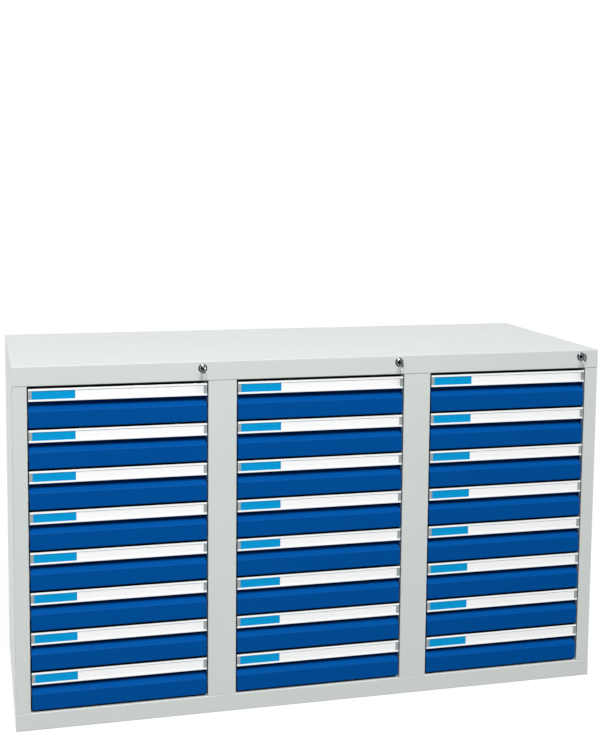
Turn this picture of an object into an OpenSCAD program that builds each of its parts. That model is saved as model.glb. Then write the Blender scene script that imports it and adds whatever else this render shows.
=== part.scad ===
// Workshop drawer cabinet: a casing of folded sheet steel with three columns of eight inset drawers.
// Each drawer has a folded front with a finger recess under a full-width label rail, and runs on
// rollers. Each column has a key lock whose plug lifts a bar with one hook for each drawer.
// Millimetres. The origin is the middle of the footprint, at floor level: +X is right,
// +Y is towards the back and +Z is up. Columns count from the left and rows from the top.

/* [Casing] */
// Depth of the casing, from its front face to its back face
cabinet_d = 600; // [480:10:800]
// Thickness of the casing's sheet
sheet = 1.5; // [1:0.25:2]
// Width of the stile at each side of the front
outer_stile_w = 36; // [30:1:60]
// Width of the stiles between two columns
inner_stile_w = 72; // [60:1:120]
// Depth to which a stile turns back beside the drawers
stile_return = 20; // [12:1:22]
// Height of the fascia above the drawers
fascia_h = 48.5; // [46:0.5:90]
// Height of the plinth flange below the drawers
plinth_h = 43.5; // [30:0.5:100]
// Depth to which the fascia, the plinth and the back edges turn in
hem = 15; // [8:1:18]
// Height of the skirts that join the top and the base to the side panels
skirt_h = 20; // [12:1:28]
// Radius of the holes in the base for floor bolts
floor_hole_r = 5.5; // [4:0.5:8]
// Distance of the floor bolts from the casing's edges
floor_hole_inset = 60; // [45:5:120]

/* [Drawers] */
// Width of the opening that a drawer fills
opening_w = 438; // [300:1:700]
// Height from one drawer to the next
drawer_pitch = 100; // [92:1:150]
// Gap between a drawer front and the stile, at each side
side_gap = 3; // [2:0.5:4]
// Gap between a label rail and the next front above it
front_gap = 4.5; // [3:0.5:6]
// Gap between the fascia and the top label rail
fascia_gap = 6; // [4:0.5:10]
// Gap between the plinth and the lowest drawer's room
plinth_gap = 2; // [1:0.5:6]
// Thickness of a drawer front's sheet
front_sheet = 1.2; // [0.8:0.1:1.5]
// Depth to which a drawer front's free edges turn in
front_flange = 12; // [6:1:14]
// Height of the finger recess under the label rail
recess_h = 23.5; // [16:0.5:28]
// Depth of the finger recess
recess_d = 18; // [14:0.5:18.5]
// Height by which the recess's floor rises towards the back
recess_rise = 12; // [6:0.5:15]
// Thickness of a tray's sheet
tray_sheet = 1.2; // [0.8:0.1:1.6]
// Height of a tray's walls
tray_h = 78; // [70:1:80]
// Height of a tray's underside above the bottom of its room
tray_lift = 8; // [7:0.5:9]
// Room behind a closed tray
tray_back_gap = 18.5; // [10:0.5:40]
// Room for the slides between the opening's edge and a tray's side
slide_space = 17; // [16.5:0.5:19]

/* [Label rail] */
// Height of the label rail
rail_h = 30.5; // [26:0.5:34]
// Wall of the rail's profile
rail_wall = 1.5; // [1:0.1:2]
// Height of the lip over the label
upper_lip_h = 5; // [3:0.5:6]
// Height of the lip under the label
lower_lip_h = 4.5; // [3:0.5:6]
// Depth of the label channel, lips included
channel_d = 3.5; // [3:0.1:5]
// Depth of the finger lip along the rail's lower edge
finger_lip_d = 9; // [6:0.5:10]
// Depth of the rail's roof below its upper edge
roof_drop = 4.5; // [0:0.5:5]
// Height of the flange that holds the rail to the front
rail_flange_h = 12; // [8:1:15]
// Length of the plug at each end of the label channel
end_plug_l = 8; // [5:0.5:15]
// Thickness of the paper label
label_t = 0.4; // [0.3:0.1:0.6]
// Height by which each lip covers the label's edge
label_grip = 1.5; // [0.5:0.5:2]
// Thickness of the clear label cover
cover_t = 0.8; // [0.5:0.1:1]

/* [Slides] */
// Thickness of the slides' steel
slide_sheet = 1.5; // [1:0.1:1.6]
// Height of a fixed slide's channel
slide_h = 30; // [29:0.5:30.5]
// Height of a fixed slide above the bottom of the drawer's room
slide_lift = 12; // [10.5:0.5:12]
// Gap between a fixed slide and the opening's edge
slide_inset = 3.5; // [2:0.5:4]
// Width of a fixed slide's lower flange
slide_foot_w = 9; // [8:0.5:9.5]
// Width of a fixed slide's upper flange
slide_top_w = 6; // [4:0.5:8]
// Radius of a roller
roller_r = 9; // [8.5:0.1:9.4]
// Width of a roller
roller_w = 8; // [6:0.5:8.5]
// Clearance between a roller and what it carries
roller_clear = 0.3; // [0.2:0.05:0.5]
// Height of the moving slide's top above the fixed slide's underside
rider_top = 26; // [25:0.5:27]
// Height of the moving slide's web
rider_h = 18; // [10:0.5:20]
// Distance from a slide's end to the middle of its roller
roller_setback = 12; // [11:0.5:20]
// Distance between the two rollers of a slide when the drawer is fully open
roller_engage = 80; // [40:5:150]
// Distance of a slide's brackets from its ends
bracket_inset = 38; // [34:1:60]
// Length of a slide bracket's flange on the wall
bracket_flange = 25; // [15:1:40]
// Length of a slide behind the closed tray
slide_tail = 8; // [0:1:9]

/* [Locks] */
// Radius of a lock's bezel
bezel_r = 11; // [10:0.5:13]
// Thickness of a lock's bezel
bezel_t = 3; // [2:0.5:4]
// Radius of a lock's body
barrel_r = 9; // [8:0.25:9.5]
// Radius of the plug that the key turns
plug_r = 6; // [5:0.25:7]
// Running clearance around the plug
plug_clear = 0.05; // [0.02:0.01:0.1]
// Length of the lock's body behind the fascia's front face
barrel_l = 18.5; // [15:0.5:18.5]
// Distance of the lock's axis below the top of the casing
lock_drop = 17; // [16:0.5:19]
// Distance of the lock's axis from the opening's right edge
lock_inset = 14; // [12:0.5:20]
// Height across the flats of the nut behind the fascia
nut_af = 23; // [21:0.5:24]
// Thickness of the nut behind the fascia
nut_t = 4; // [3:0.5:6]
// Distance of the cam's pin from the lock's axis
cam_throw = 10; // [8:0.5:10.5]
// Radius of the cam's pin
cam_pin_r = 2; // [1.5:0.25:2.5]
// Thickness of the cam
cam_t = 3; // [2:0.5:3.5]
// Width of the cam's land around its pin
cam_land = 1; // [0.5:0.25:1.5]
// Distance that the plug stands out at both ends of the lock's body
plug_proud = 0.5; // [0.3:0.1:0.5]
// Metal left in the plug behind the key's slot
key_stop_t = 4; // [2:0.5:6]
// Thickness of the key
key_t = 1.8; // [1.4:0.1:2.2]
// Width of the key's blade
key_blade_w = 7.2; // [6:0.2:8]
// Radius of the key's bow
key_bow_r = 10.5; // [9:0.5:13]
// Distance from the bezel to the middle of the key's bow
key_reach = 20; // [16:0.5:26]

/* [Lock bars] */
// Thickness of a lock bar
bar_t = 2; // [1.5:0.25:2.5]
// Width of a lock bar
bar_w = 15; // [12:0.5:18]
// Distance of a lock bar from the opening's edge
bar_inset = 3; // [2.5:0.5:5]
// Height of a hook on the bar
hook_h = 12; // [10:0.5:12.5]
// Thickness of a hook
hook_t = 4; // [2:0.5:4.5]
// Gap between a hook and the catch that it holds
hook_gap = 2; // [1:0.25:3]
// Distance that a hook reaches into the opening
hook_reach = 12; // [10:0.5:13]
// Height of a tray's catch above the bottom of the drawer's room
catch_lift = 60; // [60:0.5:62]
// Height of a tray's catch
catch_h = 8; // [5:0.5:8]
// Distance that a catch stands out from the tray
catch_reach = 11; // [9:0.5:13]
// Clearance of the bar in its guides, and of the cam's pin in the bar's slot
guide_clear = 0.6; // [0.4:0.1:1]
// Thickness of the arm that the cam lifts
arm_t = 3; // [2:0.5:4]
// Height of the arm that the cam lifts
arm_h = 11; // [9:0.5:12]
// Height of the bar's guides above the bottom of a drawer's room
guide_lift = 80; // [76:1:84]
// Thickness of the bar's guides
guide_t = 2; // [1.5:0.5:4]

/* [Fits] */
// Gap between pieces that are clipped, riveted or screwed together
fit = 0.05; // [0.02:0.01:0.1]
// Clearance of moving pieces past the stiles
stile_clear = 2; // [1.5:0.5:3]

/* [Hidden] */
columns = 3;
rows = 8;
last = columns - 1;
cut = 1;
$fn = 48;

function drawer_name(c, r) = str("drawer_", c + 1, "_", r + 1);

// Casing
stack_h = rows * drawer_pitch;
cabinet_w = 2 * outer_stile_w + columns * opening_w + last * inner_stile_w;
cabinet_h = plinth_h + plinth_gap + stack_h + fascia_gap + fascia_h;
front_y = -cabinet_d / 2;
back_y = cabinet_d / 2;
right_x = cabinet_w / 2;
edge_x = opening_w / 2;
stile_top = cabinet_h - fascia_h;
function bay_x(c) = -right_x + outer_stile_w + edge_x + c * (opening_w + inner_stile_w);
function room_z(r) = plinth_h + plinth_gap + (rows - 1 - r) * drawer_pitch;
// Distance from the opening's edge to the wall beside it
function pocket(outer) = outer ? outer_stile_w - sheet : (inner_stile_w - sheet) / 2;

// Drawers
front_w = opening_w - 2 * side_gap;
rail_z = drawer_pitch - rail_h;
face_top = rail_z - recess_h;
front_top = drawer_pitch - roof_drop - rail_wall;
tray_x = edge_x - slide_space;
tray_front = front_y + recess_d + front_sheet;
tray_back = back_y - sheet - tray_back_gap;
channel_z = lower_lip_h - label_grip;
channel_h = rail_h - upper_lip_h + label_grip - channel_z;
lip_t = channel_d - rail_wall - label_t - cover_t - 3 * fit;

// Slides
web_x = edge_x - slide_inset;
slide_front = front_y + stile_return + stile_clear;
slide_back = tray_back + slide_tail;
fixed_roller_y = slide_front + roller_setback;
moving_roller_y = tray_back - roller_setback;
rider_z = slide_lift + rider_top;
rider_w = web_x - slide_sheet - tray_x - stile_clear - fit;
travel = moving_roller_y - fixed_roller_y - roller_engage;

// Locks
lock_x = edge_x - lock_inset;
lock_z = cabinet_h - lock_drop;
plug_front = front_y - bezel_t - plug_proud;
plug_back = front_y + barrel_l + plug_proud;
blade_back = plug_back - key_stop_t;
pin_drop = cam_throw * sin(45);
bar_lift = 2 * pin_drop;
bar_x = edge_x + bar_inset;
bar_y = front_y + stile_return + 2 * stile_clear;
hook_z = catch_lift - hook_h - 2 * stile_clear;
catch_y = bar_y + bar_w + hook_t + hook_gap;

// Colours
casing_grey = [0.84, 0.86, 0.84];
tray_grey = [0.72, 0.74, 0.74];
drawer_blue = [0.0, 0.27, 0.55];
zinc = [0.75, 0.76, 0.78];
rail_silver = [0.88, 0.9, 0.9];
plug_grey = [0.62, 0.65, 0.66];

// Section of a sheet of thickness t folded along a path, with the sheet on the path's left
function fold_normal(path, i) =
    let (d = path[i + 1] - path[i]) [-d[1], d[0]] / norm(d);
function fold_inside(path, t, i) =
    i == 0 ? path[0] + t * fold_normal(path, 0)
    : i == len(path) - 1 ? path[i] + t * fold_normal(path, i - 1)
    : let (a = fold_normal(path, i - 1), b = fold_normal(path, i)) path[i] + t * (a + b) / (1 + a * b);
module folded_section(path, t) {
    inside = [for (i = [len(path) - 1:-1:0]) fold_inside(path, t, i)];
    polygon(concat(path, inside));
}

// A folded section of y and z, drawn along x and centred on x = 0
module folded_along_x(path, t, length) {
    rotate([90, 0, 90]) linear_extrude(length, center = true) folded_section(path, t);
}

// A box from its low corner to its high corner
module block(low, high) {
    translate(low) cube(high - low);
}

// A cylinder along y, from y0 to y1
module round_y(r, y0, y1) {
    translate([0, y1, 0]) rotate([90, 0, 0]) cylinder(h = y1 - y0, r = r);
}

// Copies the children to both sides of each column
module at_each_side() {
    for (c = [0:last], side = [-1, 1]) {
        outer = (c == 0 && side < 0) || (c == last && side > 0);
        $pocket = pocket(outer);
        translate([bay_x(c), 0, 0]) mirror([side < 0 ? 1 : 0, 0, 0]) children();
    }
}

module top_cover() color(casing_grey) difference() {
    union() {
        folded_along_x([[front_y, stile_top], [front_y, cabinet_h], [back_y, cabinet_h]], -sheet, cabinet_w);
        folded_along_x([[front_y + hem, stile_top], [front_y, stile_top]], -sheet, cabinet_w - 2 * sheet);
        for (side = [-1, 1]) skirt(side, cabinet_h - skirt_h, cabinet_h - sheet / 2);
    }
    for (c = [0:last]) translate([bay_x(c) + lock_x, 0, lock_z])
        round_y(barrel_r, front_y - cut, front_y + sheet + cut);
}

module base_panel() color(casing_grey) difference() {
    union() {
        folded_along_x([[front_y, plinth_h], [front_y, 0], [back_y, 0]], sheet, cabinet_w);
        folded_along_x([[front_y + hem, plinth_h], [front_y, plinth_h]], sheet, cabinet_w - 2 * sheet);
        for (side = [-1, 1]) skirt(side, sheet / 2, skirt_h);
    }
    for (x = [-1, 1], y = [-1, 1])
        translate([x * (right_x - floor_hole_inset), y * (back_y - floor_hole_inset), -cut])
            cylinder(h = sheet + 2 * cut, r = floor_hole_r);
}

// A strip against the inside of a side panel, where the top or the base is fixed to it
module skirt(side, z0, z1) {
    mirror([side < 0 ? 1 : 0, 0, 0])
        block([right_x - 2 * sheet, front_y + hem, z0], [right_x - sheet, back_y - 2 * hem, z1]);
}

module side_panels_and_dividers() color(casing_grey) {
    for (side = [-1, 1]) mirror([side < 0 ? 1 : 0, 0, 0]) side_panel(side > 0);
    for (c = [0:last - 1]) translate([bay_x(c) + edge_x + inner_stile_w / 2, 0, 0]) divider();
}

module side_panel(guides) {
    block([right_x - sheet, front_y + sheet, sheet], [right_x, back_y, cabinet_h - sheet]);
    translate([0, 0, plinth_h]) linear_extrude(stile_top - plinth_h) folded_section(
        [[right_x - outer_stile_w, front_y + stile_return], [right_x - outer_stile_w, front_y],
        [right_x, front_y], [right_x, front_y + 2 * sheet]], sheet);
    block([right_x - hem, back_y - 2 * sheet, sheet], [right_x - sheet, back_y - sheet, cabinet_h - sheet]);
    if (guides) translate([right_x - outer_stile_w, 0, 0]) bar_guides(pocket(true));
}

module divider() {
    web_front = front_y + hem + sheet;
    block([-sheet / 2, web_front, sheet], [sheet / 2, back_y - sheet, cabinet_h - sheet]);
    block([-sheet / 2, front_y, plinth_h], [sheet / 2, web_front, stile_top]);
    translate([0, 0, plinth_h]) linear_extrude(stile_top - plinth_h) folded_section(
        [[-inner_stile_w / 2, front_y + stile_return], [-inner_stile_w / 2, front_y],
        [inner_stile_w / 2, front_y], [inner_stile_w / 2, front_y + stile_return]], sheet);
    block([0, back_y - 2 * sheet, sheet], [hem, back_y - sheet, cabinet_h - sheet]);
    translate([-inner_stile_w / 2, 0, 0]) bar_guides(pocket(false) + sheet / 2);
}

// Lugs on a wall, each with a slot for the lock bar, drawn from the opening's edge
module bar_guides(depth) {
    low = [bar_inset - guide_clear, bar_y - guide_clear];
    high = [bar_inset + bar_t + guide_clear, bar_y + bar_w + guide_clear];
    for (r = [0, floor(rows / 2), rows - 1]) translate([0, 0, room_z(r) + guide_lift])
        linear_extrude(guide_t) difference() {
            translate(low - [guide_t, guide_t])
                square([depth - low[0] + guide_t, high[1] - low[1] + 2 * guide_t]);
            translate(low) square(high - low);
        }
}

module back_panel() color(casing_grey)
    block([sheet - right_x, back_y - sheet, sheet], [right_x - sheet, back_y, cabinet_h - sheet]);

// The fixed slides with their front rollers, one at each side of each drawer
module drawer_slides() {
    for (r = [0:rows - 1]) translate([0, 0, room_z(r) + slide_lift]) at_each_side() {
        color(zinc) fixed_slide($pocket);
        color("white") translate([web_x - slide_sheet - fit - roller_w, fixed_roller_y,
            rider_top - slide_sheet - roller_clear - roller_r]) roller();
    }
}

module fixed_slide(depth) {
    translate([0, slide_back, 0]) rotate([90, 0, 0]) linear_extrude(slide_back - slide_front)
        folded_section([[web_x - slide_sheet - slide_foot_w, 0], [web_x, 0], [web_x, slide_h],
            [web_x - slide_sheet - slide_top_w, slide_h]], slide_sheet);
    for (y = [slide_front + bracket_inset, slide_back - bracket_inset - bracket_flange]) {
        block([web_x - slide_sheet, y, 0], [edge_x + depth, y + slide_sheet, slide_h]);
        block([edge_x + depth - slide_sheet, y, 0], [edge_x + depth, y + bracket_flange, slide_h]);
    }
}

module roller() {
    rotate([0, 90, 0]) cylinder(h = roller_w, r = roller_r);
}

// Chromed lock bodies in the fascia, each held by a nut behind it
module lock_barrels() {
    nut_back = front_y + sheet + nut_t;
    for (c = [0:last]) translate([bay_x(c) + lock_x, 0, lock_z]) {
        color(zinc) difference() {
            union() {
                round_y(bezel_r, front_y - bezel_t, front_y);
                round_y(barrel_r - fit, front_y - bezel_t / 2, front_y + barrel_l);
            }
            round_y(plug_r + plug_clear, front_y - bezel_t - cut, front_y + barrel_l + cut);
        }
        color(plug_grey) difference() {
            translate([0, nut_back, 0]) rotate([90, 0, 0])
                cylinder(h = nut_t, d = nut_af / cos(30), $fn = 6);
            round_y(barrel_r, front_y, nut_back + cut);
        }
    }
}

// The plug with its cam and the key in it, at the unlocked position
module lock_plug_and_key(c) translate([bay_x(c) + lock_x, 0, lock_z]) {
    color(zinc) difference() {
        round_y(plug_r, plug_front, plug_back);
        block([-key_t / 2 - fit, plug_front - cut, -key_blade_w / 2 - fit],
            [key_t / 2 + fit, blade_back + fit, key_blade_w / 2 + fit]);
    }
    color(plug_grey) translate([0, plug_back + fit, 0]) cam();
    color("silver") key();
}

// A lever behind the plug, whose pin points down to the left at rest and lifts the bar as it turns
module cam() {
    pin_end = bar_y + arm_t + stile_clear - plug_back;
    arm_r = cam_pin_r + cam_land / 2;
    round_y(plug_r - cam_land, 0, cam_t);
    rotate([0, 135, 0]) {
        block([0, fit, -arm_r], [cam_throw, cam_t - fit, arm_r]);
        translate([cam_throw, 0, 0]) round_y(cam_pin_r + cam_land, 0, cam_t);
        translate([cam_throw, 0, 0]) round_y(cam_pin_r, cam_t / 2, pin_end);
    }
}

module key() {
    bow_y = front_y - bezel_t - key_reach;
    slot_r = key_bow_r / 5;
    slot_reach = key_bow_r / 2;
    block([-key_t / 2, bow_y + key_bow_r / 2, -key_blade_w / 2], [key_t / 2, blade_back, key_blade_w / 2]);
    translate([-key_t / 2, bow_y, 0]) rotate([0, 90, 0]) linear_extrude(key_t) difference() {
        circle(key_bow_r);
        square([2 * slot_reach, 2 * slot_r], center = true);
        for (side = [-1, 1]) translate([side * slot_reach, 0]) circle(slot_r);
    }
}

// A strip behind the stile, with an arm for the cam's pin and one hook for each drawer
module lock_bar(c) color(zinc) translate([bay_x(c), 0, 0]) {
    pin_z = lock_z - pin_drop;
    slot_w = cam_throw - pin_drop + 4 * cam_pin_r;
    slot_h = 2 * (cam_pin_r + guide_clear);
    slot_x = lock_x - (cam_throw + pin_drop + slot_w) / 2;
    block([bar_x, bar_y, room_z(rows - 1) + hook_z], [bar_x + bar_t, bar_y + bar_w, pin_z + arm_h / 2]);
    difference() {
        block([slot_x - arm_t, bar_y, pin_z - arm_h / 2], [bar_x + bar_t, bar_y + arm_t, pin_z + arm_h / 2]);
        block([slot_x, bar_y - cut, pin_z - slot_h / 2],
            [slot_x + slot_w, bar_y + arm_t + cut, pin_z + slot_h / 2]);
    }
    for (r = [0:rows - 1]) translate([0, 0, room_z(r) + hook_z])
        block([edge_x - hook_reach, bar_y + bar_w - cut, 0],
            [bar_x + bar_t, bar_y + bar_w + hook_t, hook_h]);
}

// A tray with its moving slides, their rear rollers and the catch for the lock bar
module drawer_tray(c, r) translate([bay_x(c), 0, room_z(r)]) {
    color(tray_grey) tray_box();
    for (side = [-1, 1]) mirror([side < 0 ? 1 : 0, 0, 0]) translate([tray_x + fit, 0, 0]) {
        color(zinc) translate([0, tray_back, 0]) rotate([90, 0, 0]) linear_extrude(tray_back - tray_front)
            folded_section([[0, rider_z - rider_h], [0, rider_z], [rider_w, rider_z]], -slide_sheet);
        color("white") translate([slide_sheet + fit, moving_roller_y,
            slide_lift + slide_sheet + roller_clear + roller_r]) roller();
    }
    color(zinc) translate([tray_x + fit, catch_y, catch_lift]) cube([catch_reach, bar_t, catch_h]);
}

// A floor plate with a wall welded on along each of its edges
module tray_box() {
    inner_x = tray_x - tray_sheet;
    wall_z = tray_lift + tray_sheet + fit;
    wall_top = tray_lift + tray_h;
    block([-tray_x, tray_front, tray_lift], [tray_x, tray_back, tray_lift + tray_sheet]);
    for (side = [-1, 1]) mirror([side < 0 ? 1 : 0, 0, 0])
        block([inner_x, tray_front, wall_z], [tray_x, tray_back, wall_top]);
    for (y = [tray_front, tray_back - tray_sheet])
        block([fit - inner_x, y, wall_z], [inner_x - fit, y + tray_sheet, wall_top]);
}

// A folded front, its label rail, the plugs at the rail's ends, the label and the clear cover
module drawer_front(c, r) translate([bay_x(c), front_y, room_z(r)]) {
    label_w = front_w - 2 * end_plug_l - 2 * fit;
    color(drawer_blue) folded_front();
    translate([0, 0, rail_z]) {
        color(rail_silver) label_rail();
        color(plug_grey) for (side = [-1, 1]) translate([side * (front_w - end_plug_l) / 2, 0, 0])
            channel_strip(end_plug_l, fit, label_t + fit + cover_t);
        color("white") channel_strip(label_w, 2 * fit + cover_t, label_t);
        color("skyblue", 0.4) channel_strip(label_w, fit, cover_t);
    }
}

module folded_front() {
    folded_along_x([[front_flange, front_gap], [0, front_gap], [0, face_top],
        [recess_d, face_top + recess_rise], [recess_d, front_top]], -front_sheet, front_w);
    for (side = [-1, 1]) mirror([side < 0 ? 1 : 0, 0, 0])
        block([front_w / 2 - front_sheet, 0, front_gap],
            [front_w / 2, front_flange, face_top - front_sheet]);
}

// The rail's profile: two lips over a label channel, a roof and flange to the front, a finger lip
module label_rail() {
    roof_z = rail_h - roof_drop - rail_wall;
    rotate([90, 0, 90]) linear_extrude(front_w, center = true) {
        translate([channel_d - rail_wall, 0]) square([rail_wall, rail_h]);
        square([channel_d, channel_z]);
        square([lip_t, lower_lip_h]);
        translate([0, channel_z + channel_h]) square([channel_d, rail_h - channel_z - channel_h]);
        translate([0, rail_h - upper_lip_h]) square([lip_t, upper_lip_h]);
        translate([channel_d - rail_wall, roof_z])
            square([recess_d - fit - channel_d + rail_wall, rail_wall]);
        translate([recess_d - fit - rail_wall, roof_z + rail_wall - rail_flange_h])
            square([rail_wall, rail_flange_h]);
        square([finger_lip_d, rail_wall]);
    }
}

// A strip in the rail's label channel, at a depth behind the lips
module channel_strip(length, depth, thickness) {
    translate([-length / 2, lip_t + depth, channel_z + fit]) cube([length, thickness, channel_h - 2 * fit]);
}

top_cover();
base_panel();
side_panels_and_dividers();
back_panel();
drawer_slides();
lock_barrels();
for (c = [0:last]) {
    lock_plug_and_key(c);
    lock_bar(c);
    for (r = [0:rows - 1]) {
        drawer_tray(c, r);
        drawer_front(c, r);
    }
}
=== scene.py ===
import bmesh
import bpy
import math
from mathutils import Matrix, Vector

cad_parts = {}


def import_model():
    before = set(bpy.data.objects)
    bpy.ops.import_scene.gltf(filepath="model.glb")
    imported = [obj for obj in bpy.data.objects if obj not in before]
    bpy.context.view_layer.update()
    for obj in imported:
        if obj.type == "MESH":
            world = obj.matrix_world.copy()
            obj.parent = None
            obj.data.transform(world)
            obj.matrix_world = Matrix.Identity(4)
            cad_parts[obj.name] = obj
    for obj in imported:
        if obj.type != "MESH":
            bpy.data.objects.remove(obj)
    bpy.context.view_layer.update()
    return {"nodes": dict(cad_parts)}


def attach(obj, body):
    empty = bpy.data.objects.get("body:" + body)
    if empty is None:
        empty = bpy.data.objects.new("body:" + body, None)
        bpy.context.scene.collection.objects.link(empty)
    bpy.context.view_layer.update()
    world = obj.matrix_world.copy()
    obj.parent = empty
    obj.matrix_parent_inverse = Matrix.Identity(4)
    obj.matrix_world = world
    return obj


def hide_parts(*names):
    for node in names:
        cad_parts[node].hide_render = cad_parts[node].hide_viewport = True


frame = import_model()
scene = bpy.context.scene

# Lengths are in metres. A drawer's pieces are drawn from the cabinet's front and from the bottom of the
# drawer's room.

# Casing
BAYS = (-0.510, 0.0, 0.510)
FRONT, BACK = -0.300, 0.300
HALF_W, HEIGHT = 0.765, 0.900
SHEET = 0.0015
HEM, SKIRT = 0.015, 0.020
OUTER_STILE, INNER_STILE = 0.036, 0.072
STILE_BOTTOM, STILE_TOP = 0.0435, 0.8515
STILE_RETURN, STILE_CLEAR = 0.020, 0.002
OPENING_HALF = 0.219
BEND = 0.0008          # inner radius of a sheet's bend
SEAM = 0.0002          # the visible joint above and below a stile
OFF_PLANE = 0.0001     # keeps the faces of two sheets out of one plane

# Drawers
ROWS, PITCH, PLINTH_GAP = 8, 0.100, 0.002
ROOM_BOTTOM = STILE_BOTTOM + PLINTH_GAP
FIT = 0.00005
DRAWER_SHEET = 0.0012
SIDE_GAP, SLIDE_SPACE, RECESS = 0.003, 0.017, 0.018
FRONT_HALF = OPENING_HALF - SIDE_GAP
RAIL_Z = 0.0695
LABEL_HALF = 0.2079
COVER_Y, LABEL_Y = (0.00070, 0.00150), (0.00155, 0.00195)
CHANNEL_Z = (0.00305, 0.02695)
TRAY_HALF, TRAY_FRONT, TRAY_BACK = OPENING_HALF - SLIDE_SPACE, RECESS + DRAWER_SHEET, 0.580

# Slides and their rollers
SLIDE_SHEET, SLIDE_H, SLIDE_LIFT = 0.0015, 0.030, 0.012
SLIDE_INSET, SLIDE_TAIL, RIDER_TOP = 0.0035, 0.008, 0.026
SLIDE_FRONT, SLIDE_BACK = FRONT + STILE_RETURN + STILE_CLEAR, FRONT + TRAY_BACK + SLIDE_TAIL
WEB_X, RIDER_Z = OPENING_HALF - SLIDE_INSET, SLIDE_LIFT + RIDER_TOP
ROLLER_R, ROLLER_W, ROLLER_CLEAR, ROLLER_SETBACK = 0.009, 0.008, 0.0003, 0.012

# Locks and the bars they lift
LOCK_X, LOCK_Z = 0.205, 0.883
PLUG_R, PLUG_CLEAR, PLUG_FRONT, PLUG_BACK = 0.0060, 0.00005, -0.0035, 0.0190
KEY_T, KEY_BOW_Y = 0.0018, -0.023
CAM_T = 0.003
BAR_Y, BAR_W, BAR_T, BAR_INSET = FRONT + STILE_RETURN + 2 * STILE_CLEAR, 0.015, 0.002, 0.003


def room_z(r):
    """The bottom of drawer r's room, with the drawers counted from the top."""
    return ROOM_BOTTOM + (ROWS - 1 - r) * PITCH


# ---------------------------------------------------------------- materials

# A noise texture's values lie mostly between these two
NOISE_LOW, NOISE_HIGH = 0.3, 0.7


def add(nt, kind, **inputs):
    n = nt.nodes.new(kind)
    for key, value in inputs.items():
        n.inputs[key.replace("_", " ")].default_value = value
    return n


def noise(nt, scale, detail, stretch):
    co = nt.nodes.new("ShaderNodeTexCoord")
    mp = add(nt, "ShaderNodeMapping", Scale=stretch)
    nt.links.new(co.outputs["Object"], mp.inputs["Vector"])
    n = add(nt, "ShaderNodeTexNoise", Scale=scale, Detail=detail)
    nt.links.new(mp.outputs["Vector"], n.inputs["Vector"])
    return n.outputs["Fac"]


def two_tones(nt, fac, dark, light):
    r = nt.nodes.new("ShaderNodeValToRGB")
    ends = r.color_ramp.elements
    ends[0].position, ends[0].color = NOISE_LOW, (*dark, 1)
    ends[1].position, ends[1].color = NOISE_HIGH, (*light, 1)
    nt.links.new(fac, r.inputs["Fac"])
    return r.outputs["Color"]


def span(nt, fac, low, high):
    r = add(nt, "ShaderNodeMapRange", From_Min=NOISE_LOW, From_Max=NOISE_HIGH, To_Min=low, To_Max=high)
    nt.links.new(fac, r.inputs["Value"])
    return r.outputs["Result"]


def scaled(color, k):
    return tuple(min(1.0, c * k) for c in color)


def finish(name, color, rough, metallic=0.0, specular=0.5, tint=0.02, tint_scale=4.0, stretch=(1, 1, 1),
           grain=900.0, bump=0.05, bump_mm=0.1, rough_span=0.05, alpha=1.0):
    """A Principled material with slow colour variation, a fine surface grain and uneven gloss."""
    m = bpy.data.materials.new(name)
    m.use_nodes = True
    nt = m.node_tree
    p = nt.nodes["Principled BSDF"]
    slow = noise(nt, tint_scale, 3.0, stretch)
    tone = two_tones(nt, slow, scaled(color, 1 - tint), scaled(color, 1 + tint))
    nt.links.new(tone, p.inputs["Base Color"])
    b = add(nt, "ShaderNodeBump", Strength=bump, Distance=bump_mm * 0.001)
    nt.links.new(noise(nt, grain, 2.0, stretch), b.inputs["Height"])
    nt.links.new(b.outputs["Normal"], p.inputs["Normal"])
    gloss = noise(nt, tint_scale * 6, 2.0, stretch)
    nt.links.new(span(nt, gloss, max(0.02, rough - rough_span), min(1.0, rough + rough_span)),
                 p.inputs["Roughness"])
    p.inputs["Metallic"].default_value = metallic
    p.inputs["Specular IOR Level"].default_value = specular
    p.inputs["Alpha"].default_value = alpha
    return m


casing_paint = finish("casing_paint_grey", (0.594, 0.628, 0.606), 0.42, specular=0.25, tint=0.012,
                      grain=700, bump=0.10, bump_mm=0.12)
front_paint = finish("front_paint_blue", (0.0003, 0.069, 0.285), 0.50, specular=0.02, tint=0.03,
                     grain=700, bump=0.10, bump_mm=0.12)
tray_paint = finish("tray_paint_grey", (0.47, 0.50, 0.49), 0.45, specular=0.4, tint=0.02, grain=700,
                    bump=0.1)
zinc = finish("zinc_plated_steel", (0.60, 0.61, 0.62), 0.32, metallic=1.0, tint=0.08, tint_scale=40,
              grain=400, bump=0.12, rough_span=0.08)
rail_metal = finish("rail_anodised", (0.86, 0.89, 0.89), 0.34, metallic=1.0, tint=0.015, tint_scale=30,
                    stretch=(0.02, 1, 1), grain=1500, bump=0.08, bump_mm=0.05)
chrome = finish("lock_chrome", (0.78, 0.79, 0.80), 0.12, metallic=1.0, tint=0.02, tint_scale=60,
                bump=0.01, rough_span=0.03)
# painted dark reflection: the bezel's metal is near-black so that it does not mirror the white background as
# white
bezel_painted_dark = finish("lock_bezel_painted_dark_reflection", (0.034, 0.044, 0.052), 0.15, metallic=1.0, tint=0.04,
                     tint_scale=60, bump=0.02, rough_span=0.03)
# painted dark reflection: the plug's metal is near-black so that the lock's middle shows dark instead of
# mirroring the white background
plug_painted_dark = finish("lock_plug_painted_dark_reflection", (0.022, 0.024, 0.028), 0.30, metallic=1.0, tint=0.05,
                    tint_scale=120, bump=0.05)
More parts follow.
